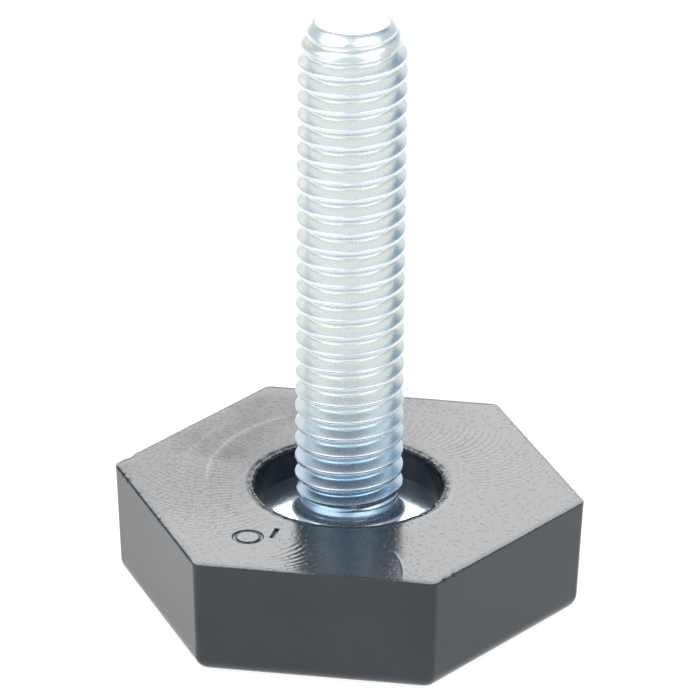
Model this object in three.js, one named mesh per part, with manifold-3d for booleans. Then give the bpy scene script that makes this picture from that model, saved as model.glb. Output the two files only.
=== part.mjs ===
// Furniture leveling foot: a moulded plastic hexagon on the flanged end of a threaded steel stud.
// The stud screws up into the furniture, and a wrench on the hexagon turns the whole foot.
// Millimetres, +Z up along the stud, origin at the centre of the face that rests on the floor.

import * as THREE from 'three';
import { mergeVertices } from 'three/addons/utils/BufferGeometryUtils.js';
import Module from 'manifold-3d';

const wasm = await Module();
wasm.setup();

// Hexagonal base
const BASE_HEIGHT = 10.4;
const BASE_ACROSS_FLATS = 35.4; // at the upper edge, where it is widest
const BASE_DRAFT = THREE.MathUtils.degToRad(2.4); // the sides lean in towards the floor
const BASE_CORNER_RADIUS = 0.8; // the six upright corners
const BASE_FOOT_RADIUS = 1.5; // the edge round the underside
const RECESS_RIM_RADIUS = 8.65; // outer edge of the shallow rim round the recess
const RECESS_RIM_DEPTH = 0.25;
const RECESS_MOUTH_RADIUS = 8.1; // the wall, at the inner edge of the rim
const RECESS_FLOOR_RADIUS = 8;
const RECESS_DEPTH = 2.65; // from the top of the base to the stud's flange

// Threaded stud, 3/8-16 UNC with a rolled thread
const OVERALL_HEIGHT = 53.35; // floor to the end of the stud
const THREAD_PITCH = 25.4 / 16;
const CREST_RADIUS = 9.26 / 2;
const PITCH_RADIUS = 8.36 / 2;
const ROOT_RADIUS = 7.44 / 2;
const THREAD_FLANK = THREE.MathUtils.degToRad(30);
const CREST_LEVEL = 45.53; // height of a crest at the +X side of the stud
const THREAD_START = 9.5; // height where the run-out meets the plain neck
const RUN_OUT_LENGTH = 1.1;
const POINT_LENGTH = 3.4; // the tapered stretch under the end face
const POINT_SHOULDER = new THREE.Vector2(4.5, -1.3); // where its tangents meet, from the end face
const END_FACE_RADIUS = 3.15;
const NECK_RADIUS = 4.2;
const COVE_RADIUS = 0.9;

// Flange of the stud, buried in the base beyond the recess
const FLANGE_RADIUS = 11;
const FLANGE_THICKNESS = 2.5;
const FLANGE_EDGE_RADIUS = 0.4;
const NOTCH_COUNT = 6;
const NOTCH_WIDTH = 3;
const NOTCH_FLOOR_RADIUS = 9.4; // from the axis to the bottom of each notch
const MOULD_GAP = 0.3; // round the flange, on its sides only

// Fineness of the round shapes
const THREAD_SEGMENTS = 20;
const ROUND_SEGMENTS = 48;
const CORNER_SEGMENTS = 3;
const ARC_SEGMENTS = 4;
const POINT_SEGMENTS = 6;

const FLANGE_TOP = BASE_HEIGHT - RECESS_DEPTH;
const FLANGE_BOTTOM = FLANGE_TOP - FLANGE_THICKNESS;

// A closed manifold solid from a geometry whose faces all point out.
function toSolid(geometry) {
  geometry.deleteAttribute('normal');
  geometry.deleteAttribute('uv');
  const merged = mergeVertices(geometry, 1e-4);
  const corners = merged.index.array;
  const triVerts = [];
  for (let i = 0; i < corners.length; i += 3) {
    const [a, b, c] = corners.slice(i, i + 3);
    if (a !== b && b !== c && c !== a) {
      triVerts.push(a, b, c);
    }
  }
  return new wasm.Manifold(new wasm.Mesh({
    numProp: 3,
    vertProperties: new Float32Array(merged.attributes.position.array),
    triVerts: new Uint32Array(triVerts),
  }));
}

function toMesh(name, solid, material) {
  const { vertProperties, triVerts } = solid.getMesh();
  const geometry = new THREE.BufferGeometry();
  geometry.setAttribute('position', new THREE.BufferAttribute(vertProperties, 3));
  geometry.setIndex(new THREE.BufferAttribute(triVerts, 1));
  geometry.computeVertexNormals();
  const mesh = new THREE.Mesh(geometry, material);
  mesh.name = name;
  return mesh;
}

// Turns a profile of (radius, height) points, which starts and ends on the axis, about +Z.
function turned(points) {
  const geometry = new THREE.LatheGeometry(points, ROUND_SEGMENTS);
  geometry.rotateX(Math.PI / 2);
  return toSolid(geometry);
}

// Points of a circular arc in (radius, height), angles in degrees.
function arc(centreRadius, centreHeight, radius, fromDegrees, toDegrees) {
  const from = THREE.MathUtils.degToRad(fromDegrees);
  const to = THREE.MathUtils.degToRad(toDegrees);
  const curve = new THREE.EllipseCurve(
    centreRadius, centreHeight, radius, radius, from, to, to < from);
  return curve.getPoints(ARC_SEGMENTS);
}

// A block across the flange's rim, long enough to run past it, centred on +X and turned to its place.
function rimBlock(width, innerRadius, angle) {
  const outerRadius = FLANGE_RADIUS + 2;
  const length = outerRadius - innerRadius;
  const geometry = new THREE.BoxGeometry(length, width, FLANGE_THICKNESS + 2);
  geometry.translate(innerRadius + length / 2, 0, FLANGE_BOTTOM + FLANGE_THICKNESS / 2);
  geometry.rotateZ(angle);
  return toSolid(geometry);
}

// Applies one block per notch to a solid, by calling the given function for each.
function forEachNotch(solid, apply) {
  let result = solid;
  for (let i = 0; i < NOTCH_COUNT; i += 1) {
    result = apply(result, (i + 0.5) * 2 * Math.PI / NOTCH_COUNT);
  }
  return result;
}

// One level of the hexagon: corners on the X axis and every 60 degrees, each rounded by the radius.
function hexagonRing(apothem, cornerRadius, height) {
  const ring = [];
  const centreDistance = (apothem - cornerRadius) / Math.cos(Math.PI / 6);
  for (let corner = 0; corner < 6; corner += 1) {
    const direction = corner * Math.PI / 3;
    for (let i = 0; i <= CORNER_SEGMENTS; i += 1) {
      const angle = direction + (i / CORNER_SEGMENTS - 0.5) * Math.PI / 3;
      ring.push(new THREE.Vector3(
        centreDistance * Math.cos(direction) + cornerRadius * Math.cos(angle),
        centreDistance * Math.sin(direction) + cornerRadius * Math.sin(angle),
        height));
    }
  }
  return ring;
}

// Joins rings of equal length, given from the lowest to the highest, and closes both ends.
function loft(rings) {
  const count = rings[0].length;
  const points = rings.flat();
  const index = [];
  for (let level = 0; level + 1 < rings.length; level += 1) {
    for (let i = 0; i < count; i += 1) {
      const a = level * count + i;
      const b = level * count + (i + 1) % count;
      index.push(a, b, b + count, a, b + count, a + count);
    }
  }
  const lowest = points.push(new THREE.Vector3(0, 0, rings[0][0].z)) - 1;
  const highest = points.push(new THREE.Vector3(0, 0, rings.at(-1)[0].z)) - 1;
  const lastRing = (rings.length - 1) * count;
  for (let i = 0; i < count; i += 1) {
    const next = (i + 1) % count;
    index.push(lowest, next, i);
    index.push(highest, lastRing + i, lastRing + next);
  }
  const geometry = new THREE.BufferGeometry().setFromPoints(points);
  geometry.setIndex(index);
  return toSolid(geometry);
}

function hexBase() {
  const topApothem = BASE_ACROSS_FLATS / 2;
  const apothemAt = (height) => topApothem - (BASE_HEIGHT - height) * Math.tan(BASE_DRAFT);
  const rings = [];
  for (const edge of arc(0, BASE_FOOT_RADIUS, BASE_FOOT_RADIUS, 270, 360)) {
    const inset = BASE_FOOT_RADIUS - edge.x;
    const side = apothemAt(edge.y);
    rings.push(hexagonRing(side - inset, BASE_CORNER_RADIUS, edge.y));
  }
  rings.push(hexagonRing(topApothem, BASE_CORNER_RADIUS, BASE_HEIGHT));
  const hexagon = loft(rings);

  // The space that the stud's flange and the mould's sleeve above it leave in the plastic
  const pocketRadius = FLANGE_RADIUS + MOULD_GAP;
  const pocket = turned([
    new THREE.Vector2(0, FLANGE_BOTTOM),
    new THREE.Vector2(pocketRadius, FLANGE_BOTTOM),
    new THREE.Vector2(pocketRadius, FLANGE_TOP),
    new THREE.Vector2(RECESS_FLOOR_RADIUS, FLANGE_TOP),
    new THREE.Vector2(RECESS_MOUTH_RADIUS, BASE_HEIGHT - RECESS_RIM_DEPTH),
    new THREE.Vector2(RECESS_RIM_RADIUS, BASE_HEIGHT),
    new THREE.Vector2(RECESS_RIM_RADIUS, BASE_HEIGHT + 1),
    new THREE.Vector2(0, BASE_HEIGHT + 1),
  ]);

  // The plastic also fills the notches, which keys the stud against turning
  const keyed = forEachNotch(pocket, (solid, angle) => solid.subtract(
    rimBlock(NOTCH_WIDTH - 2 * MOULD_GAP, NOTCH_FLOOR_RADIUS + MOULD_GAP, angle)));
  return hexagon.subtract(keyed);
}

// A right-hand external thread, longer than the stud at both ends, as one closed helical solid.
function threadRod() {
  const crestHalf = THREAD_PITCH / 4 - (CREST_RADIUS - PITCH_RADIUS) * Math.tan(THREAD_FLANK);
  const rootHalf = THREAD_PITCH / 4 - (PITCH_RADIUS - ROOT_RADIUS) * Math.tan(THREAD_FLANK);
  const profile = [
    new THREE.Vector2(CREST_RADIUS, -crestHalf),
    new THREE.Vector2(CREST_RADIUS, crestHalf),
    new THREE.Vector2(ROOT_RADIUS, THREAD_PITCH / 2 - rootHalf),
    new THREE.Vector2(ROOT_RADIUS, THREAD_PITCH / 2 + rootHalf),
  ];
  const turnsDown = Math.ceil((CREST_LEVEL - THREAD_START) / THREAD_PITCH) + 2;
  const turnsUp = Math.ceil((OVERALL_HEIGHT - CREST_LEVEL) / THREAD_PITCH) + 2;
  const steps = (turnsDown + turnsUp) * THREAD_SEGMENTS;
  const lowest = CREST_LEVEL - turnsDown * THREAD_PITCH;
  const points = [];
  for (let step = 0; step <= steps + THREAD_SEGMENTS; step += 1) {
    const angle = (step % THREAD_SEGMENTS) / THREAD_SEGMENTS * 2 * Math.PI;
    const height = lowest + step / THREAD_SEGMENTS * THREAD_PITCH;
    for (const { x: radius, y: offset } of profile) {
      points.push(new THREE.Vector3(
        radius * Math.cos(angle), radius * Math.sin(angle), height + offset));
    }
  }

  // Corner k = profile.length of a step is corner 0 one turn further on
  const at = (step, corner) => {
    const wraps = corner === profile.length;
    return (wraps ? step + THREAD_SEGMENTS : step) * profile.length + (wraps ? 0 : corner);
  };
  const index = [];
  for (let step = 0; step < steps; step += 1) {
    for (let corner = 0; corner < profile.length; corner += 1) {
      const a = at(step, corner);
      const b = at(step + 1, corner);
      const c = at(step + 1, corner + 1);
      const d = at(step, corner + 1);
      index.push(a, b, c, a, c, d);
    }
  }

  // Each end is a fan from the axis to the last turn's edge and to the profile where it starts
  const addEnd = (start, flip) => {
    const centre = points.push(new THREE.Vector3(0, 0, points[at(start, 0)].z)) - 1;
    const edge = [];
    for (let i = 0; i <= THREAD_SEGMENTS; i += 1) {
      edge.push(at(start + i, 0));
    }
    for (let corner = profile.length - 1; corner >= 0; corner -= 1) {
      edge.push(at(start, corner));
    }
    for (let i = 0; i + 1 < edge.length; i += 1) {
      index.push(centre, edge[flip ? i : i + 1], edge[flip ? i + 1 : i]);
    }
  };
  addEnd(0, false);
  addEnd(steps, true);

  const geometry = new THREE.BufferGeometry().setFromPoints(points);
  geometry.setIndex(index);
  return toSolid(geometry);
}

function threadedStud() {
  // The end of the blank is pointed before rolling, so the crests shrink towards the end face
  const point = new THREE.QuadraticBezierCurve(
    new THREE.Vector2(CREST_RADIUS, OVERALL_HEIGHT - POINT_LENGTH),
    new THREE.Vector2(POINT_SHOULDER.x, OVERALL_HEIGHT + POINT_SHOULDER.y),
    new THREE.Vector2(END_FACE_RADIUS, OVERALL_HEIGHT));
  const clear = CREST_RADIUS + 0.3;
  const envelope = turned([
    new THREE.Vector2(0, THREAD_START),
    new THREE.Vector2(NECK_RADIUS, THREAD_START),
    new THREE.Vector2(CREST_RADIUS, THREAD_START + RUN_OUT_LENGTH),
    new THREE.Vector2(clear, THREAD_START + RUN_OUT_LENGTH),
    new THREE.Vector2(clear, OVERALL_HEIGHT - POINT_LENGTH),
    ...point.getPoints(POINT_SEGMENTS),
    new THREE.Vector2(0, OVERALL_HEIGHT),
  ]);
  const thread = threadRod().intersect(envelope);

  // Flange, cove, plain neck, and a cone that fills the grooves where the thread runs out
  const edge = FLANGE_EDGE_RADIUS;
  const shank = turned([
    new THREE.Vector2(0, FLANGE_BOTTOM),
    ...arc(FLANGE_RADIUS - edge, FLANGE_BOTTOM + edge, edge, 270, 360),
    ...arc(FLANGE_RADIUS - edge, FLANGE_TOP - edge, edge, 0, 90),
    ...arc(NECK_RADIUS + COVE_RADIUS, FLANGE_TOP + COVE_RADIUS, COVE_RADIUS, 270, 180),
    new THREE.Vector2(NECK_RADIUS, THREAD_START + 0.1),
    new THREE.Vector2(ROOT_RADIUS - 0.2, THREAD_START + 2 * RUN_OUT_LENGTH),
    new THREE.Vector2(0, THREAD_START + 2 * RUN_OUT_LENGTH),
  ]);
  return forEachNotch(shank.add(thread), (solid, angle) => solid.subtract(
    rimBlock(NOTCH_WIDTH, NOTCH_FLOOR_RADIUS, angle)));
}

const charcoalPlastic = new THREE.MeshStandardMaterial({
  color: 0x3a3f43,
  roughness: 0.38,
  metalness: 0,
});
const zincPlatedSteel = new THREE.MeshStandardMaterial({
  color: 0xc9cfd2,
  roughness: 0.22,
  metalness: 1,
});

const foot = new THREE.Group();
foot.add(toMesh('hex_base', hexBase(), charcoalPlastic));
foot.add(toMesh('threaded_stud', threadedStud(), zincPlatedSteel));

export default foot;
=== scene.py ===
"""Looks of the furniture leveling foot: a moulded plastic hexagon on a zinc-plated threaded stud.

The CAD frame gives the size and place of both pieces. Each is replaced here by a finer mesh of the
same shape. Lengths below are in millimetres, and meshes are scaled to metres when they are made.
"""

import math

import bmesh
import bpy
import numpy as np
from mathutils import Matrix, Vector, noise


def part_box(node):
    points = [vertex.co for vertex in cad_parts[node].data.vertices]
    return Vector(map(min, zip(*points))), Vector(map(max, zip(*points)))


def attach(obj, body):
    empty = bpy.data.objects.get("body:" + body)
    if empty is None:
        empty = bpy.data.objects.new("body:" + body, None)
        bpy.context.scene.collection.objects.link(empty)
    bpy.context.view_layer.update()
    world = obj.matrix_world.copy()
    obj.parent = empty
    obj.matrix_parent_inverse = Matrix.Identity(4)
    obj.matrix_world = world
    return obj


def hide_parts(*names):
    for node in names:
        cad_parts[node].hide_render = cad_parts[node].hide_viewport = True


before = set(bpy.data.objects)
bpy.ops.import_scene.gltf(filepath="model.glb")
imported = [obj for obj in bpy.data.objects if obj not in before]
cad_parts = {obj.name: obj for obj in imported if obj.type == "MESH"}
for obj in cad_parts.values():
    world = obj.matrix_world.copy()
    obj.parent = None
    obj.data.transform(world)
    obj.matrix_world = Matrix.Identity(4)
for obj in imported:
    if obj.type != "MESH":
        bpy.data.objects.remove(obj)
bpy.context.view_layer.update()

MM = 0.001
base_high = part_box("hex_base")[1] / MM
stud_low, stud_high = (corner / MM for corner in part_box("threaded_stud"))

# Base
BASE_TOP = base_high.z
BASE_APOTHEM = base_high.y  # centre to flat, at the upper edge
BASE_DRAFT = math.radians(2.4)
CORNER_RADIUS = 0.8
FOOT_RADIUS = 1.5
RIM_RADIUS = 8.65  # outer edge of the shallow rim round the recess
MOUTH_RADIUS = 8.1  # where the wall of the recess starts, under its ragged rim
RECESS_FLOOR_RADIUS = 8.0
RECESS_DEPTH = 2.65
MOULD_GAP = 0.3

# Stud
STUD_TOP = stud_high.z
PITCH = 25.4 / 16
CREST_RADIUS = 4.63
PITCH_RADIUS = 4.18
ROOT_RADIUS = 3.72
FLANK = math.radians(30)
CREST_LEVEL = 45.53  # height of a crest at the +X side
NECK_RADIUS = 4.2
COVE_RADIUS = 0.9
POINT_LENGTH = 3.4
POINT_SHOULDER = (4.5, 1.3)  # radius, and drop below the end face, where the point's tangents meet
END_FACE_RADIUS = 3.15
END_EDGE_RADIUS = 0.3
CREST_EDGE_RADIUS = 0.09  # between crest and flank
CREST_SEAM = [(0, 0.015), (0.03, 0.006), (0.055, 0)]  # distance from the crest's middle, depth
STRIP_SEGMENTS = 84  # of the spiral strip, round the axis
STRIP_TURNS = 34  # of the strip, below the height CREST_LEVEL
FLANGE_RADIUS = stud_high.x
FLANGE_TOP = BASE_TOP - RECESS_DEPTH
FLANGE_BOTTOM = stud_low.z
FLANGE_EDGE = 0.4
NOTCH_COUNT = 6
NOTCH_WIDTH = 3.0
NOTCH_FLOOR_RADIUS = 9.4
NOTCH_REACH = 8.6  # radius beyond which the rim is drawn in at a notch

# End of the thread above the neck. A pair holds the heights between which something grows
ROOT_RUN_OUT = (9.7, 10.7)  # the roots, to their full depth
WAIST_TOP = (9.0, 9.9)  # the neck, by WAIST_GAIN
WAIST_GAIN = 0.19
FIRST_RIDGE = (9.8, 10.15)  # the lowest ridge, to FIRST_RIDGE_DROP under the crests
FIRST_RIDGE_DROP = 0.14
FULL_RIDGE = (10.6, 11.3)  # the ridges above it, by FULL_RIDGE_GAIN
FULL_RIDGE_GAIN = 0.15
RUN_OUT_BLEND = 0.03

# Upper edge of the base: its bevel, and the stretch, in degrees, where it is wider
BEVEL_WIDTH = 0.07
BEVEL_SWELL = 0.05
WIDE_BEVEL_GAIN = 0.12
WIDE_BEVEL_STARTS = (180, 183)
WIDE_BEVEL_STOPS = (237, 240)
# Nicks in the base's upper edge: angle and half width in degrees, depth
EDGE_NICKS = [
    (175.4, 1.8, 0.25), (185.5, 0.6, 0.14), (188.5, 0.5, 0.16), (197, 0.5, 0.12), (214, 0.7, 0.1),
    (252, 0.4, 0.08), (283, 0.5, 0.1), (303, 0.7, 0.2), (306.5, 0.9, 0.24), (310, 0.5, 0.16),
    (318, 0.6, 0.1), (341, 0.5, 0.12),
]

# Ragged rim of the recess, from outside in: radius, depth, sway and roughness
RIM_RINGS = [
    (RIM_RADIUS + 0.15, 0.02, 0.1, 0.01),
    (RIM_RADIUS, 0.09, 0.1, 0.02),
    (RIM_RADIUS - 0.1, 0.11, 0.1, 0.03),
    (RIM_RADIUS - 0.2, 0.05, 0.1, 0.07),
    (RIM_RADIUS - 0.29, 0.04, 0.1, 0.09),
    (RIM_RADIUS - 0.38, 0.12, 0.1, 0.12),
    (MOUTH_RADIUS + 0.1, 0.14, 0.1, 0.15),
    (MOUTH_RADIUS + 0.02, 0.24, 0.09, 0.13),
    (MOUTH_RADIUS - 0.03, 0.42, 0.06, 0.04),
]
RIM_FIRST_SEED = 11
WALL_TOP_DEPTH = 0.34

# Marks of the cutter that faced the mould: its centre went round a circle about the foot's axis.
# Each patch shows one edge of the cutter: +1 leading or -1 trailing, middle, radius and height.
CUTTER_PATH = 12.5
CUTTER_RADIUS = 5.8
CUTTER_STEPS = 131  # round the whole circle
CUTTER_MARKS = [
    (1, (6, 13), 9, 0.0065),
    (1, (12, 7), 7, 0.003),
    (-1, (12, 5.5), 6, 0.003),
    (1, (-11, -5.5), 9, 0.003),
    (-1, (-11, -5.5), 9, 0.004),
    (-1, (-1.8, -14.6), 2.9, 0.006),
    (-1, (-12.5, 4), 7, 0.002),
]
# Single arcs: middle, radius, middle and radius of the patch, and height
SINGLE_ARCS = [
    ((1, 1.5), 13.4, (-11.4, 5.5), 9.0, 0.014),
    ((1, 1.5), 15.6, (-14, 5), 7.0, 0.005),
    ((-2, -17.5), 9.4, (6.6, -14.5), 3.4, 0.01),
]
ARC_WIDTH = 0.17
# Painted highlight: extra shine along each single arc, for each millimetre of its height
ARC_PAINTED_HIGHLIGHT = 16  # extra shine for each millimetre of height
PIT_DEPTH = 0.011


def new_object(name, mesh):
    obj = bpy.data.objects.new(name, mesh)
    bpy.context.scene.collection.objects.link(obj)
    return obj


def shade_by_angle(mesh, degrees):
    """Smooth shading with sharp edges where two faces meet at more than the angle."""
    work = bmesh.new()
    work.from_mesh(mesh)
    limit = math.radians(degrees)
    for face in work.faces:
        face.smooth = True
    for edge in work.edges:
        edge.smooth = len(edge.link_faces) == 2 and edge.calc_face_angle() < limit
    work.to_mesh(mesh)
    work.free()


def smoothstep(low, high, value):
    t = np.clip((value - low) / (high - low), 0, 1)
    return t * t * (3 - 2 * t)


def ripple(angle, height, scale, seed):
    """Smooth noise from -1 to 1 on a circle, so that it joins up all the way round."""
    place = Vector((scale * math.cos(angle), scale * math.sin(angle), height))
    return noise.noise(place + Vector((seed * 13.7, seed * 5.1, seed * 9.3)))


# ---------------------------------------------------------------- threaded stud


def arc_points(centre, radius, start, stop, count):
    """Points of an arc in (radius, height), angles in degrees."""
    angles = np.radians(np.linspace(start, stop, count))
    return [(centre[0] + radius * math.cos(a), centre[1] + radius * math.sin(a)) for a in angles]


def thread_rows():
    """Places across one pitch, from crest to crest: (share of the pitch, radius)."""
    crest_half = PITCH / 4 - (CREST_RADIUS - PITCH_RADIUS) * math.tan(FLANK)
    turned = math.pi / 2 - FLANK  # the angle between crest and flank
    edge = CREST_EDGE_RADIUS
    edge_start = crest_half - edge * math.tan(turned / 2)
    rows = [(offset, CREST_RADIUS - depth) for offset, depth in CREST_SEAM]
    for a in np.linspace(0, turned, 4):
        rows.append((edge_start + edge * math.sin(a), CREST_RADIUS - edge * (1 - math.cos(a))))
    flank_start = rows[-1]
    # The root is one arc that meets both flanks
    apex = PITCH_RADIUS - PITCH / 4 / math.tan(FLANK)
    root = (ROOT_RADIUS - apex) / (1 / math.sin(FLANK) - 1)
    arc = [(PITCH / 2 - root * math.sin(a), ROOT_RADIUS + root * (1 - math.cos(a)))
           for a in np.linspace(turned, 0, 6)]
    for share in (0.08, 0.5, 0.92):
        rows.append(tuple(np.add(flank_start, share * np.subtract(arc[0], flank_start))))
    rows += arc
    other = [(PITCH - offset, radius) for offset, radius in reversed(rows[1:-1])]
    return [(offset / PITCH, radius) for offset, radius in rows + other]


def soft_min(one, two, blend):
    """The smaller of two radii, with the corner between them rounded."""
    share = np.clip(0.5 + (two - one) / (2 * blend), 0, 1)
    return two + (one - two) * share - blend * share * (1 - share)


def run_out(profile, height):
    """Near the neck the grooves get shallow, the lowest ridge stays low and the shank has a waist."""
    neck = NECK_RADIUS + WAIST_GAIN * smoothstep(*WAIST_TOP, height)
    groove_floor = ROOT_RADIUS + (neck - ROOT_RADIUS) * (1 - smoothstep(*ROOT_RUN_OUT, height))
    ridge_limit = neck + (CREST_RADIUS - FIRST_RIDGE_DROP - neck) * smoothstep(*FIRST_RIDGE, height)
    ridge_limit = ridge_limit + FULL_RIDGE_GAIN * smoothstep(*FULL_RIDGE, height)
    radius = soft_min(profile, ridge_limit, RUN_OUT_BLEND)
    return -soft_min(-radius, -groove_floor, RUN_OUT_BLEND)


def stud_outline():
    """The stud's outline with full crests, from the centre of its underside to that of its end.

    Each row is (progress, radius, height). Progress is the height along the neck and the thread,
    and the length of the outline elsewhere."""
    lower = [(0, FLANGE_BOTTOM)]
    lower += arc_points((FLANGE_RADIUS - FLANGE_EDGE, FLANGE_BOTTOM + FLANGE_EDGE),
                        FLANGE_EDGE, -90, 0, 6)
    lower += arc_points((FLANGE_RADIUS - FLANGE_EDGE, FLANGE_TOP - FLANGE_EDGE),
                        FLANGE_EDGE, 0, 90, 6)
    lower += arc_points((NECK_RADIUS + COVE_RADIUS, FLANGE_TOP + COVE_RADIUS),
                        COVE_RADIUS, 270, 180, 24)
    # The point is a quadratic curve from the crests in to the end face
    point = []
    for t in np.linspace(0, 1, 40):
        a, b, c = (1 - t) ** 2, 2 * t * (1 - t), t ** 2
        point.append((a * CREST_RADIUS + b * POINT_SHOULDER[0] + c * END_FACE_RADIUS,
                      STUD_TOP - a * POINT_LENGTH - b * POINT_SHOULDER[1]))
    steps = [math.dist(start, stop) for start, stop in zip(lower, lower[1:])]
    lengths = np.concatenate([[0], np.cumsum(steps)])
    neck_foot = FLANGE_TOP + COVE_RADIUS
    outline = [(length - lengths[-1] + neck_foot, r, z) for length, (r, z) in zip(lengths, lower)]
    outline.append((ROOT_RUN_OUT[1], CREST_RADIUS, ROOT_RUN_OUT[1]))
    outline += [(z, r, z) for r, z in point if z < STUD_TOP - END_EDGE_RADIUS]
    # The rounded edge of the end face, from the last place on the point to the flat
    last = outline[-1]
    edge_end = (END_FACE_RADIUS - END_EDGE_RADIUS, STUD_TOP)
    corner = (END_FACE_RADIUS + 0.02, STUD_TOP)
    progress = last[0]
    previous = last[1:]
    for t in np.linspace(0, 1, 12)[1:]:
        a, b, c = (1 - t) ** 2, 2 * t * (1 - t), t ** 2
        place = tuple(a * p + b * q + c * s for p, q, s in zip(last[1:], corner, edge_end))
        progress += math.dist(previous, place)
        outline.append((progress, *place))
        previous = place
    outline.append((progress + edge_end[0], 0, STUD_TOP))
    return np.array(outline), progress


def turn_at(height):
    """The strip's turn count at a height in the thread, where one turn is exactly one pitch."""
    return STRIP_TURNS + (height - CREST_LEVEL) / PITCH


def strip_knots(outline, end_flat):
    """Turns of the strip, and progress along the outline, at the places that it is laid between."""
    first, last = outline[0, 0], outline[-1, 0]
    neck_foot = FLANGE_TOP + COVE_RADIUS
    thread_stop = STUD_TOP - 0.6
    turn_neck = turn_at(neck_foot)
    turn_stop = turn_at(thread_stop)
    rim_stop = neck_foot - COVE_RADIUS * math.pi / 2
    knots = [
        (turn_neck - 6.5, first),
        (turn_neck - 5.5, first),
        (turn_neck - 3.6, rim_stop - 6.0),
        (turn_neck - 1.6, rim_stop),
        (turn_neck, neck_foot),
        (turn_stop, thread_stop),
        (turn_stop + 1.6, end_flat),
        (turn_stop + 3.2, last),
        (turn_stop + 4.4, last),
    ]
    return [np.array(column) for column in zip(*knots)]


def threaded(radius, height, angle, turn):
    """The radii with the thread cut in, faded out toward the neck."""
    rows = thread_rows()
    row_share = np.array([share for share, _ in rows] + [1.0])
    row_radius = np.array([row for _, row in rows] + [rows[0][1]])
    phase = ((height - CREST_LEVEL) / PITCH - angle / (2 * math.pi)) % 1
    profile = np.interp(phase, row_share, row_radius)
    low = height < ROOT_RUN_OUT[1]
    faded = np.where(low, run_out(profile, height), profile)
    in_thread = (height > FLANGE_TOP + COVE_RADIUS) & (height < STUD_TOP - 0.05)
    # In the run-out the outline sets no limit, so it counts as 9 mm there
    radius = np.where(in_thread, np.minimum(np.where(low, 9, radius), faded), radius)
    return radius + crest_dips(in_thread, phase, angle, turn)


def crest_dips(in_thread, phase, angle, turn):
    """Rolled crests are never quite even: they dip a little along the thread."""
    wobble = np.zeros_like(phase)
    for i, j in zip(*np.nonzero(in_thread & ((phase < 0.12) | (phase > 0.88)))):
        along = float(angle[i, j] + 2 * math.pi * math.floor(turn[i, j]))
        wobble[i, j] = 0.02 * noise.noise(Vector((along * 2.2, 0.4, 7.7)))
        if phase[i, j] < 0.03 or phase[i, j] > 0.97:
            wobble[i, j] += 0.03 * noise.noise(Vector((along * 5.0, 3.4, 1.7)))
    return np.minimum(wobble, 0)


def notched(radius, angle):
    """The radii with the notches in the flange's rim, which the plastic fills."""
    centre = (np.floor(angle / (2 * math.pi) * NOTCH_COUNT) + 0.5) * 2 * math.pi / NOTCH_COUNT
    across = np.abs(radius * np.sin(angle - centre))
    in_notch = 1 - smoothstep(NOTCH_WIDTH / 2 - 0.1, NOTCH_WIDTH / 2 + 0.3, across)
    squeezed = NOTCH_REACH + (radius - NOTCH_REACH) * (
        (NOTCH_FLOOR_RADIUS - NOTCH_REACH) / (FLANGE_RADIUS - NOTCH_REACH))
    return np.where(radius > NOTCH_REACH, radius + (squeezed - radius) * in_notch, radius)


def strip_mesh(points, steps):
    """Joins each turn of the strip to the next one, and merges what collapses at the poles."""
    count = points.shape[1]

    def index(i, j):
        return (i + STRIP_SEGMENTS) * count if j == count else i * count + j

    faces = [(index(i, j), index(i + 1, j), index(i + 1, j + 1), index(i, j + 1))
             for i in range(steps) for j in range(count)]
    mesh = bpy.data.meshes.new("threaded_stud_fine")
    mesh.from_pydata((points.reshape(-1, 3) * MM).tolist(), [], faces)
    work = bmesh.new()
    work.from_mesh(mesh)
    bmesh.ops.remove_doubles(work, verts=work.verts, dist=1e-7)
    bmesh.ops.dissolve_degenerate(work, dist=1e-8, edges=work.edges)
    loose = [v for v in work.verts if not v.link_faces]
    bmesh.ops.delete(work, geom=loose, context="VERTS")
    bmesh.ops.recalc_face_normals(work, faces=work.faces)
    work.to_mesh(mesh)
    work.free()
    return mesh


def make_stud():
    """The whole stud is one spiral strip, which follows the thread and is closed at both poles."""
    shares = np.array([share for share, _ in thread_rows()])
    outline, end_flat = stud_outline()
    knot_turn, knot_progress = strip_knots(outline, end_flat)
    start = math.floor(knot_turn[0])
    steps = (math.floor(knot_turn[-1]) - start) * STRIP_SEGMENTS

    step = np.arange(steps + STRIP_SEGMENTS + 1)
    turn = start + step[:, None] / STRIP_SEGMENTS + shares[None, :]
    angle = np.broadcast_to((step % STRIP_SEGMENTS)[:, None] * 2 * math.pi / STRIP_SEGMENTS, turn.shape)
    progress = np.interp(turn, knot_turn, knot_progress)
    radius = np.interp(progress, outline[:, 0], outline[:, 1])
    height = np.interp(progress, outline[:, 0], outline[:, 2])
    radius = notched(threaded(radius, height, angle, turn), angle)

    points = np.stack([radius * np.cos(angle), radius * np.sin(angle), height], -1)
    mesh = strip_mesh(points, steps)
    shade_by_angle(mesh, 50)
    return new_object("zinc_plated_stud", mesh)


# ---------------------------------------------------------------- hexagonal base


def hexagon_radius(angle, apothem, corner_radius):
    """Distance from the axis to a hexagon with rounded corners, corners on the X axis."""
    sector = (angle + math.pi / 6) % (math.pi / 3) - math.pi / 6  # from the nearest corner
    across = math.pi / 6 - abs(sector)
    straight = apothem / math.cos(across)
    centre = (apothem - corner_radius) / math.cos(math.pi / 6)
    tangent = math.atan2(apothem * math.tan(math.pi / 6) - corner_radius * math.tan(math.pi / 6),
                         apothem)
    if across > tangent:
        return centre * math.cos(sector) + math.sqrt(
            corner_radius ** 2 - (centre * math.sin(sector)) ** 2)
    return straight


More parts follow.
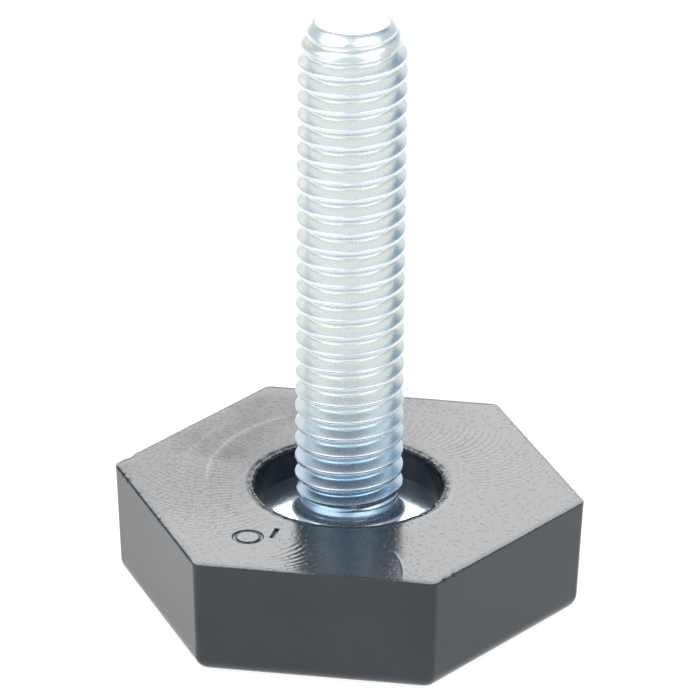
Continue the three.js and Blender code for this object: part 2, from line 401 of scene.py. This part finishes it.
def base_angles():
    """Angles round the base, closer together at the six corners."""
    angles = []
    for corner in range(6):
        middle = corner * math.pi / 3
        for offset in np.linspace(-1.7, 1.7, 15):
            angles.append(middle + math.radians(offset))
        for offset in np.linspace(1.7, 58.3, 112)[1:-1]:
            angles.append(middle + math.radians(offset))
    return angles


def side_apothem(height):
    return BASE_APOTHEM - (BASE_TOP - height) * math.tan(BASE_DRAFT)


# A ring is a function of the angle that gives a radius and a height


def hexagon(inset, height):
    def place(angle):
        return hexagon_radius(angle, side_apothem(height) - inset, CORNER_RADIUS), height
    return place


def circle(radius, height, swell=None):
    def place(angle):
        return radius + (swell(angle) if swell else 0), height
    return place


def between(share, outer, inner):
    def place(angle):
        (r0, z0), (r1, z1) = outer(angle), inner(angle)
        return r0 + (r1 - r0) * share, z0 + (z1 - z0) * share
    return place


def bevel(angle):
    """Width of the small uneven bevel along the upper edge, nicks included."""
    degrees = math.degrees(angle) % 360
    width = BEVEL_WIDTH + BEVEL_SWELL * abs(ripple(angle, 0.3, 9, 1))
    width += BEVEL_SWELL * max(0, ripple(angle, 0.9, 34, 2))
    wide = smoothstep(*WIDE_BEVEL_STARTS, degrees) * (1 - smoothstep(*WIDE_BEVEL_STOPS, degrees))
    width += WIDE_BEVEL_GAIN * float(wide)
    for middle, half, depth in EDGE_NICKS:
        away = abs((degrees - middle + 180) % 360 - 180) / half
        width += depth * max(0, 1 - away ** 2) * (0.8 + 0.5 * ripple(angle, 0.7, 60, 4))
    return width


def edge_ring(inward, downward):
    def place(angle):
        width = bevel(angle)
        height = BASE_TOP - downward * width
        return hexagon_radius(angle, side_apothem(height) - inward * width, CORNER_RADIUS), height
    return place


def rim_ring(radius, depth, sway, roughness, seed):
    def place(angle):
        wave = ripple(angle, seed * 0.07, 5, 21)
        coarse = ripple(angle, seed * 0.13, 14, 7)
        fine = ripple(angle, seed * 0.91, 40, seed + 3)
        return (radius + sway * (wave + 0.6 * coarse) + roughness * fine,
                BASE_TOP - depth * (1 + 0.35 * coarse) + 0.5 * roughness * fine)
    return place


def keyed(height):
    """The wall round the flange, which comes in to fill each notch."""
    pocket = FLANGE_RADIUS + MOULD_GAP

    def place(angle):
        nearest = (math.floor(angle / (2 * math.pi) * NOTCH_COUNT) + 0.5) * 2 * math.pi / NOTCH_COUNT
        across = abs(FLANGE_RADIUS * math.sin(angle - nearest))
        key = 1 - float(smoothstep(NOTCH_WIDTH / 2 - 0.6, NOTCH_WIDTH / 2 - 0.3, across))
        return pocket + (NOTCH_FLOOR_RADIUS + MOULD_GAP - pocket) * key, height
    return place


def side_rings():
    """Underside, foot radius and drafted side, from the axis outward and up."""
    foot_edge = hexagon(FOOT_RADIUS, 0)
    rings = [between(1 - share, foot_edge, circle(0, 0)) for share in (0.03, 0.3, 0.6, 0.85)]
    for a in np.radians(np.linspace(0, 90, 13)):
        rings.append(hexagon(FOOT_RADIUS * (1 - math.sin(a)), FOOT_RADIUS * (1 - math.cos(a))))
    for height in np.linspace(FOOT_RADIUS, BASE_TOP - 0.25, 12)[1:]:
        rings.append(hexagon(0, height))
    return rings


def top_rings():
    """Upper edge and top face, in to the ragged rim round the recess."""
    top_edge = edge_ring(1.0, 0.0)
    rings = [edge_ring(0.0, 1.0), edge_ring(0.1, 0.7), edge_ring(0.7, 0.1), top_edge]
    rim_edge = circle(RIM_RADIUS + 0.35, BASE_TOP, lambda a: 0.12 * ripple(a, 0.1, 3, 5))
    for share in np.linspace(0, 1, 15)[1:-1]:
        rings.append(between(share, top_edge, rim_edge))
    rings.append(rim_edge)
    rings += [rim_ring(*ring, seed) for seed, ring in enumerate(RIM_RINGS, RIM_FIRST_SEED)]
    return rings


def recess_rings():
    """Wall of the recess, then ceiling, wall and floor of the space round the flange."""
    rings = []
    for share in (0.2, 0.4, 0.6, 0.8):
        rings.append(circle(MOUTH_RADIUS + (RECESS_FLOOR_RADIUS - MOUTH_RADIUS) * share,
                            BASE_TOP - WALL_TOP_DEPTH - (RECESS_DEPTH - WALL_TOP_DEPTH) * share))
    rings += [circle(RECESS_FLOOR_RADIUS, FLANGE_TOP), circle(9.0, FLANGE_TOP)]
    rings += [keyed(FLANGE_TOP), keyed(FLANGE_BOTTOM), circle(4.0, FLANGE_BOTTOM)]
    return rings


def ring_mesh(rings, angles):
    """Joins each ring to the next one, and closes the first and the last at the axis."""
    count = len(angles)
    verts = []
    for ring in rings:
        for angle in angles:
            radius, height = ring(angle)
            verts.append((radius * math.cos(angle) * MM, radius * math.sin(angle) * MM, height * MM))
    faces = []
    for level in range(len(rings) - 1):
        for i in range(count):
            a, b = level * count + i, level * count + (i + 1) % count
            faces.append((a, b, b + count, a + count))
    verts.append((0, 0, 0))
    verts.append((0, 0, FLANGE_BOTTOM * MM))
    last = (len(rings) - 1) * count
    for i in range(count):
        faces.append((len(verts) - 2, (i + 1) % count, i))
        faces.append((len(verts) - 1, last + i, last + (i + 1) % count))
    mesh = bpy.data.meshes.new("hex_base_fine")
    mesh.from_pydata(verts, [], faces)
    work = bmesh.new()
    work.from_mesh(mesh)
    bmesh.ops.recalc_face_normals(work, faces=work.faces)
    work.to_mesh(mesh)
    work.free()
    return mesh


def make_base():
    mesh = ring_mesh(side_rings() + top_rings() + recess_rings(), base_angles())
    base = new_object("moulded_hexagonal_base", mesh)
    engrave(base)
    shade_by_angle(base.data, 24)
    return base


def swept_round(points, radius, closed):
    """A closed round-ended tube along points, as a mesh to cut a groove with."""
    sides = 12
    work = bmesh.new()
    rings = []
    count = len(points)
    for i, point in enumerate(points):
        before = points[i - 1] if i or closed else points[i]
        after = points[(i + 1) % count] if i + 1 < count or closed else points[i]
        along = (after - before).normalized()
        side = along.cross(Vector((0, 0, 1))).normalized()
        ring = []
        for k in range(sides):
            a = 2 * math.pi * k / sides
            ring.append(work.verts.new(point + radius * (math.cos(a) * side + Vector((0, 0, math.sin(a))))))
        rings.append(ring)
    pairs = list(zip(rings, rings[1:] + rings[:1]))
    for one, two in pairs if closed else pairs[:-1]:
        for k in range(sides):
            work.faces.new((one[k], one[(k + 1) % sides], two[(k + 1) % sides], two[k]))
    if not closed:
        work.faces.new(rings[0])
        work.faces.new(list(reversed(rings[-1])))
    bmesh.ops.recalc_face_normals(work, faces=work.faces)
    mesh = bpy.data.meshes.new("groove_cutter")
    work.to_mesh(mesh)
    work.free()
    return new_object("groove_cutter", mesh)


def engrave(base):
    """A plain mould mark, a small ring beside a bar, cut into the top face."""
    centre = Vector((-6.7, -11.7, BASE_TOP + 0.07))
    ring_radius = 1.15
    groove = 0.24
    ring = [centre + Vector((ring_radius * math.cos(a), ring_radius * math.sin(a), 0))
            for a in np.linspace(0, 2 * math.pi, 48, endpoint=False)]
    bar_start = centre + Vector((2.0, 0.1, 0))
    bar = [bar_start + Vector((0.2 * t, 1.9 * t, 0)) for t in np.linspace(0, 1, 8)]
    for points, closed in ((ring, True), (bar, False)):
        cutter = swept_round([p * MM for p in points], groove * MM, closed)
        cut = base.modifiers.new("engraving", "BOOLEAN")
        cut.operation = "DIFFERENCE"
        cut.solver = "EXACT"
        cut.object = cutter
        bpy.context.view_layer.update()
        evaluated = base.evaluated_get(bpy.context.evaluated_depsgraph_get())
        mesh = bpy.data.meshes.new_from_object(evaluated)
        base.modifiers.clear()
        old, base.data = base.data, mesh
        bpy.data.meshes.remove(old)
        bpy.data.objects.remove(cutter)


# ---------------------------------------------------------------- materials


class Nodes:
    """Short calls for building one material's node tree."""

    def __init__(self, name):
        self.material = bpy.data.materials.new(name)
        self.material.use_nodes = True
        self.tree = self.material.node_tree
        self.shader = self.tree.nodes["Principled BSDF"]

    def add(self, kind, **settings):
        node = self.tree.nodes.new(kind)
        for key, value in settings.items():
            setattr(node, key, value)
        return node

    def link(self, source, target):
        self.tree.links.new(source, target)

    def value(self, operation, *inputs):
        node = self.add("ShaderNodeMath", operation=operation)
        for socket, given in zip(node.inputs, inputs):
            if isinstance(given, (int, float)):
                socket.default_value = given
            else:
                self.link(given, socket)
        return node.outputs[0]

    def noise(self, scale, detail, roughness):
        node = self.add("ShaderNodeTexNoise")
        node.inputs["Scale"].default_value = scale
        node.inputs["Detail"].default_value = detail
        node.inputs["Roughness"].default_value = roughness
        self.link(self.coordinates(), node.inputs["Vector"])
        return node.outputs["Fac"]

    def coordinates(self):
        return self.add("ShaderNodeTexCoord").outputs["Object"]

    def ramp(self, factor, stops):
        node = self.add("ShaderNodeValToRGB")
        elements = node.color_ramp.elements
        while len(elements) < len(stops):
            elements.new(0.5)
        for element, (position, colour) in zip(elements, stops):
            element.position = position
            element.color = (*colour, 1)
        self.link(factor, node.inputs["Fac"])
        return node.outputs["Color"]

    def scaled(self, factor, low, high, start=0, stop=1):
        """From low where the factor is at its start to high where it is at its stop, and no further."""
        node = self.add("ShaderNodeMapRange")
        node.inputs["From Min"].default_value = start
        node.inputs["From Max"].default_value = stop
        node.inputs["To Min"].default_value = low
        node.inputs["To Max"].default_value = high
        self.link(factor, node.inputs["Value"])
        return node.outputs["Result"]

    def bump(self, height, strength, distance):
        node = self.add("ShaderNodeBump")
        node.inputs["Strength"].default_value = strength
        node.inputs["Distance"].default_value = distance
        self.link(height, node.inputs["Height"])
        return node.outputs["Normal"]


class FaceNodes(Nodes):
    """Nodes that also measure places on the upper face. Centres and radii are given in millimetres."""

    def __init__(self, name):
        super().__init__(name)
        flat = self.add("ShaderNodeVectorMath", operation="MULTIPLY")
        flat.inputs[1].default_value = (1, 1, 0)
        self.link(self.coordinates(), flat.inputs[0])
        self.flat = flat.outputs[0]
        split = self.add("ShaderNodeSeparateXYZ")
        self.link(self.coordinates(), split.inputs[0])
        self.x, self.y, self.z = (split.outputs[axis] for axis in "XYZ")

    def away_from(self, centre):
        node = self.add("ShaderNodeVectorMath", operation="DISTANCE")
        node.inputs[1].default_value = (centre[0] * MM, centre[1] * MM, 0)
        self.link(self.flat, node.inputs[0])
        return node.outputs["Value"]

    def smooth_range(self, value, start, stop):
        node = self.add("ShaderNodeMapRange", interpolation_type="SMOOTHSTEP")
        node.inputs["From Min"].default_value = start
        node.inputs["From Max"].default_value = stop
        self.link(value, node.inputs["Value"])
        return node.outputs["Result"]

    def patch(self, centre, radius):
        """A round spot, full within half its radius."""
        return self.smooth_range(self.away_from(centre), radius * MM, 0.5 * radius * MM)


def face_shine(nodes):
    """Less shine, as painted shade, in the recess and in cloudy patches toward the left and the back."""
    # Painted shade: the recess keeps only 0.3 of the shine
    recess_painted_shade = nodes.scaled(nodes.away_from((0, 0)), 0.3, 1, 8.15 * MM, 8.4 * MM)
    # Painted shade: patches that dim the upper face toward the left and the back
    painted_shade_patches = nodes.value("MULTIPLY", nodes.patch((-14, 12), 26), 0.14)
    for middle, radius, strength in ((-12.3, 6.5), 5.5, 0.09), ((-9.3, 12.8), 4.5, 0.1), ((-9, 5), 6, 0.07):
        painted_shade_patches = nodes.value("ADD", painted_shade_patches, nodes.value("MULTIPLY", nodes.patch(middle, radius), strength))
    painted_shade_patches = nodes.value("MULTIPLY", painted_shade_patches, nodes.scaled(nodes.noise(200, 7, 0.8), 0.3, 1.7))
    return nodes.value("MULTIPLY", nodes.value("SUBTRACT", 0.5, painted_shade_patches), recess_painted_shade)


def add_cutter_marks(nodes, total):
    """Waves that follow where the cutter's centre was when its edge passed each point."""
    bearing = nodes.value("ARCTAN2", nodes.y, nodes.x)
    reach = nodes.value("MAXIMUM", nodes.value("DIVIDE", nodes.away_from((0, 0)), MM), 0.1)
    squares = nodes.value("ADD", nodes.value("MULTIPLY", reach, reach), CUTTER_PATH ** 2 - CUTTER_RADIUS ** 2)
    cosine = nodes.value("DIVIDE", squares, nodes.value("MULTIPLY", reach, 2 * CUTTER_PATH))
    lead = nodes.value("ARCCOSINE", nodes.value("MINIMUM", cosine, 1))
    # No marks beyond the cutter's path nor close to the recess
    inside_path = nodes.scaled(lead, 0, 1, 0.12, 0.24)
    within = nodes.value("MULTIPLY", inside_path, nodes.scaled(reach, 0, 1, 9.4, 11.2))
    wander = nodes.value("MULTIPLY", nodes.noise(600, 3, 0.6), 2.5)
    for side, middle, radius, height in CUTTER_MARKS:
        centre_bearing = nodes.value("ADD", bearing, nodes.value("MULTIPLY", lead, side))
        phase = nodes.value("ADD", nodes.value("MULTIPLY", centre_bearing, CUTTER_STEPS), wander)
        wave = nodes.value("MULTIPLY", nodes.value("SINE", phase), nodes.patch(middle, radius))
        wave = nodes.value("MULTIPLY", wave, within)
        total = nodes.value("ADD", total, nodes.value("MULTIPLY", wave, height * MM))
    return total


def add_single_arcs(nodes, total, shine_with_painted_light):
    """Single raised arcs, each with a painted highlight along it."""
    for centre, arc_radius, middle, radius, height in SINGLE_ARCS:
        off = nodes.value("SUBTRACT", nodes.away_from(centre), arc_radius * MM)
        off = nodes.value("DIVIDE", off, ARC_WIDTH * MM)
        bell = nodes.value("DIVIDE", 1, nodes.value("ADD", 1, nodes.value("MULTIPLY", off, off)))
        wave = nodes.value("MULTIPLY", bell, nodes.patch(middle, radius))
        total = nodes.value("ADD", total, nodes.value("MULTIPLY", wave, height * MM))
        shine_with_painted_light = nodes.value("ADD", shine_with_painted_light, nodes.value("MULTIPLY", wave, ARC_PAINTED_HIGHLIGHT * height))
    return total, shine_with_painted_light


def pits(nodes):
    """Depth of the small pits, which are thicker on the left."""
    crowd = nodes.value("MULTIPLY", nodes.patch((-12, 1), 16), 0.05)
    crowd = nodes.value("ADD", crowd, nodes.value("MULTIPLY", nodes.noise(140, 2, 0.5), 0.06))
    pit = nodes.smooth_range(nodes.value("ADD", nodes.noise(2500, 1, 0.4), crowd), 0.62, 0.74)
    return nodes.value("MULTIPLY", pit, PIT_DEPTH * MM)


def plastic_material():
    """Charcoal plastic with the mould's tool marks on its upper face."""
    nodes = FaceNodes("charcoal_plastic")
    tint = nodes.ramp(nodes.noise(160, 5, 0.6), [(0.3, (0.013, 0.019, 0.026)), (0.7, (0.021, 0.028, 0.036))])
    nodes.link(tint, nodes.shader.inputs["Base Color"])
    nodes.link(nodes.scaled(nodes.noise(900, 4, 0.6), 0.13, 0.21), nodes.shader.inputs["Roughness"])

    grain = nodes.value("MULTIPLY", nodes.noise(2400, 2, 0.5), 0.0022 * MM)
    total = add_cutter_marks(nodes, grain)
    total, shine_with_painted_light = add_single_arcs(nodes, total, face_shine(nodes))
    total = nodes.value("SUBTRACT", total, pits(nodes))
    # This shine carries painted shade in the recess and in patches, and painted highlights along the arcs
    nodes.link(shine_with_painted_light, nodes.shader.inputs["Specular IOR Level"])

    # All of that is on the upper face only. The faint unevenness is everywhere
    upper = nodes.scaled(nodes.z, 0, 1, (BASE_TOP - 0.2) * MM, (BASE_TOP - 0.05) * MM)
    total = nodes.value("MULTIPLY", total, upper)
    total = nodes.value("ADD", total, nodes.value("MULTIPLY", nodes.noise(420, 3, 0.5), 0.005 * MM))
    nodes.link(nodes.bump(total, 1, 1), nodes.shader.inputs["Normal"])
    return nodes.material


def zinc_material():
    """Bright zinc. Its passivate is bluish in the roots and on the crests and slightly yellowish between
    them. Low down on the stud, most of all in the roots, it is painted darker and bluer as painted shade."""
    nodes = Nodes("blue_clear_zinc")
    split = nodes.add("ShaderNodeSeparateXYZ")
    nodes.link(nodes.coordinates(), split.inputs[0])
    squares = [nodes.value("MULTIPLY", split.outputs[axis], split.outputs[axis]) for axis in "XY"]
    across = nodes.value("SQRT", nodes.value("ADD", *squares))
    depth = nodes.scaled(across, 0, 1, ROOT_RADIUS * MM, CREST_RADIUS * MM)  # 0 in a root, 1 on a crest
    cloud = nodes.scaled(nodes.noise(260, 4, 0.6), -0.45, 0.45)
    film = nodes.value("ADD", depth, cloud)
    tint = nodes.ramp(film, [
        (0.0, (0.75, 0.80, 0.82)),
        (0.3, (0.82, 0.845, 0.80)),
        (0.65, (0.76, 0.82, 0.84)),
        (1.0, (0.77, 0.81, 0.85)),
    ])
    # Painted shade: below 21 mm the colour is darkened and blued, most of all in the roots
    low = nodes.scaled(split.outputs["Z"], 1, 0, 10 * MM, 21 * MM)
    low_root_shade_tint = nodes.add("ShaderNodeVectorMath", operation="MULTIPLY_ADD")
    low_root_shade_tint.inputs[1].default_value = (-0.38, -0.15, 0.12)
    low_root_shade_tint.inputs[2].default_value = (1, 1, 1)
    roots = nodes.value("SUBTRACT", 1.1, nodes.value("MULTIPLY", depth, 0.75))
    nodes.link(nodes.value("MULTIPLY", low, roots), low_root_shade_tint.inputs[0])
    tint_with_painted_shade = nodes.add("ShaderNodeVectorMath", operation="MULTIPLY")
    nodes.link(tint, tint_with_painted_shade.inputs[0])
    nodes.link(low_root_shade_tint.outputs[0], tint_with_painted_shade.inputs[1])
    nodes.link(tint_with_painted_shade.outputs[0], nodes.shader.inputs["Base Color"])
    nodes.shader.inputs["Metallic"].default_value = 0.93
    # The thread is duller than the flange
    dull = nodes.scaled(across, 0.27, 0.14, 4.7 * MM, 5.3 * MM)
    rough = nodes.value("MULTIPLY", dull, nodes.scaled(nodes.noise(1500, 4, 0.6), 0.85, 1.15))
    nodes.link(rough, nodes.shader.inputs["Roughness"])
    skin = nodes.bump(nodes.noise(3000, 2, 0.5), 0.12, 0.00002)
    nodes.link(skin, nodes.shader.inputs["Normal"])
    return nodes.material


# ---------------------------------------------------------------- stage, light and camera

CAMERA_AZIMUTH = 9.19
SKY_LEVEL = (0.62, 0.68, 0.72)
# Patches of the room, painted over one another and fitted so that the reflections agree with the
# photograph: azimuth from the camera and elevation of the middle, angles within which it is full
# and beyond which it has faded, and its brightness
SKY = [
    (0, 90, 5, 25, (0.7, 0.75, 0.8)),
    (-62, -28, 18, 38, (1.08, 1.07, 1.04)),
    (58, -28, 18, 38, (1.08, 1.07, 1.04)),
    (-5, 22, 8, 34, (0.68, 0.78, 0.87)),
    (-2, 62, 3, 26, (0.42, 0.48, 0.52)),
    (0, 54, 2, 8, (1.5, 1.55, 1.6)),
    (-60, 40, 18, 38, (2.2, 2.15, 2.0)),
    (46, 40, 16, 34, (2.2, 2.15, 2.05)),
    (158, 20, 10, 26, (0.9, 0.9, 0.88)),
    (135, 40, 5, 17, (0.12, 0.27, 0.38)),
    (-137, 38, 6, 22, (0.55, 0.58, 0.6)),
    (-150, 18, 8, 24, (0.8, 0.78, 0.74)),
    (183, 33, 4, 26, (4.9, 4.9, 4.9)),
]


def toward_sky(azimuth, elevation):
    """Unit vector to a place in the room. Azimuth is counted from the camera, positive to the
    camera's right, which is counter-clockwise seen from above."""
    a, e = math.radians(CAMERA_AZIMUTH + azimuth), math.radians(elevation)
    return Vector((math.sin(a) * math.cos(e), -math.cos(a) * math.cos(e), math.sin(e)))


def make_floor():
    """A plain white floor, 6 m square."""
    half = 3.0
    corners = [(-half, -half, 0), (half, -half, 0), (half, half, 0), (-half, half, 0)]
    mesh = bpy.data.meshes.new("floor")
    mesh.from_pydata(corners, [], [(0, 1, 2, 3)])
    floor = new_object("floor", mesh)
    floor.location.z = -0.02 * MM
    nodes = Nodes("white_floor")
    nodes.shader.inputs["Base Color"].default_value = (0.2, 0.2, 0.2, 1)
    nodes.shader.inputs["Roughness"].default_value = 0.9
    nodes.shader.inputs["Emission Color"].default_value = (1, 1, 1, 1)
    nodes.shader.inputs["Emission Strength"].default_value = 0.9
    mesh.materials.append(nodes.material)


def make_world():
    """A pale room, made of the soft patches in SKY, which is all the light besides the floor's."""
    world = bpy.data.worlds.new("studio")
    bpy.context.scene.world = world
    world.use_nodes = True
    tree = world.node_tree
    background = tree.nodes["Background"]
    direction = tree.nodes.new("ShaderNodeTexCoord").outputs["Generated"]
    colour = None
    for azimuth, elevation, inner, outer, level in SKY:
        axis = toward_sky(azimuth, elevation)
        aligned = tree.nodes.new("ShaderNodeVectorMath")
        aligned.operation = "DOT_PRODUCT"
        aligned.inputs[1].default_value = axis
        tree.links.new(direction, aligned.inputs[0])
        soft = tree.nodes.new("ShaderNodeMapRange")
        soft.interpolation_type = "SMOOTHSTEP"
        soft.inputs["From Min"].default_value = math.cos(math.radians(outer))
        soft.inputs["From Max"].default_value = math.cos(math.radians(inner))
        tree.links.new(aligned.outputs["Value"], soft.inputs["Value"])
        mix = tree.nodes.new("ShaderNodeMix")
        mix.data_type = "RGBA"
        tree.links.new(soft.outputs["Result"], mix.inputs["Factor"])
        if colour:
            tree.links.new(colour, mix.inputs["A"])
        else:
            mix.inputs["A"].default_value = (*SKY_LEVEL, 1)
        mix.inputs["B"].default_value = (*level, 1)
        colour = mix.outputs["Result"]
    tree.links.new(colour, background.inputs["Color"])


def make_camera():
    """The camera stands a little to the right of the front, and looks down at the foot."""
    distance = 0.6356
    target = Vector((0, 0, 22.97 * MM))
    roll = math.radians(-0.52)
    data = bpy.data.cameras.new("camera")
    data.sensor_width = 36
    data.lens = 384.7
    data.clip_start = 0.01
    camera = new_object("camera", data)
    toward = toward_sky(0, 25.3)
    camera.location = target + distance * toward
    look = (-toward).to_track_quat("-Z", "Y").to_matrix().to_4x4()
    camera.rotation_euler = (look @ Matrix.Rotation(-roll, 4, "Z")).to_euler()
    bpy.context.scene.camera = camera


make_floor()
make_world()
make_camera()
bpy.context.scene.view_settings.view_transform = "Standard"

stud = make_stud()
stud.data.materials.append(zinc_material())
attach(stud, "root")
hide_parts("threaded_stud")

base = make_base()
base.data.materials.clear()
base.data.materials.append(plastic_material())
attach(base, "root")
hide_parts("hex_base")
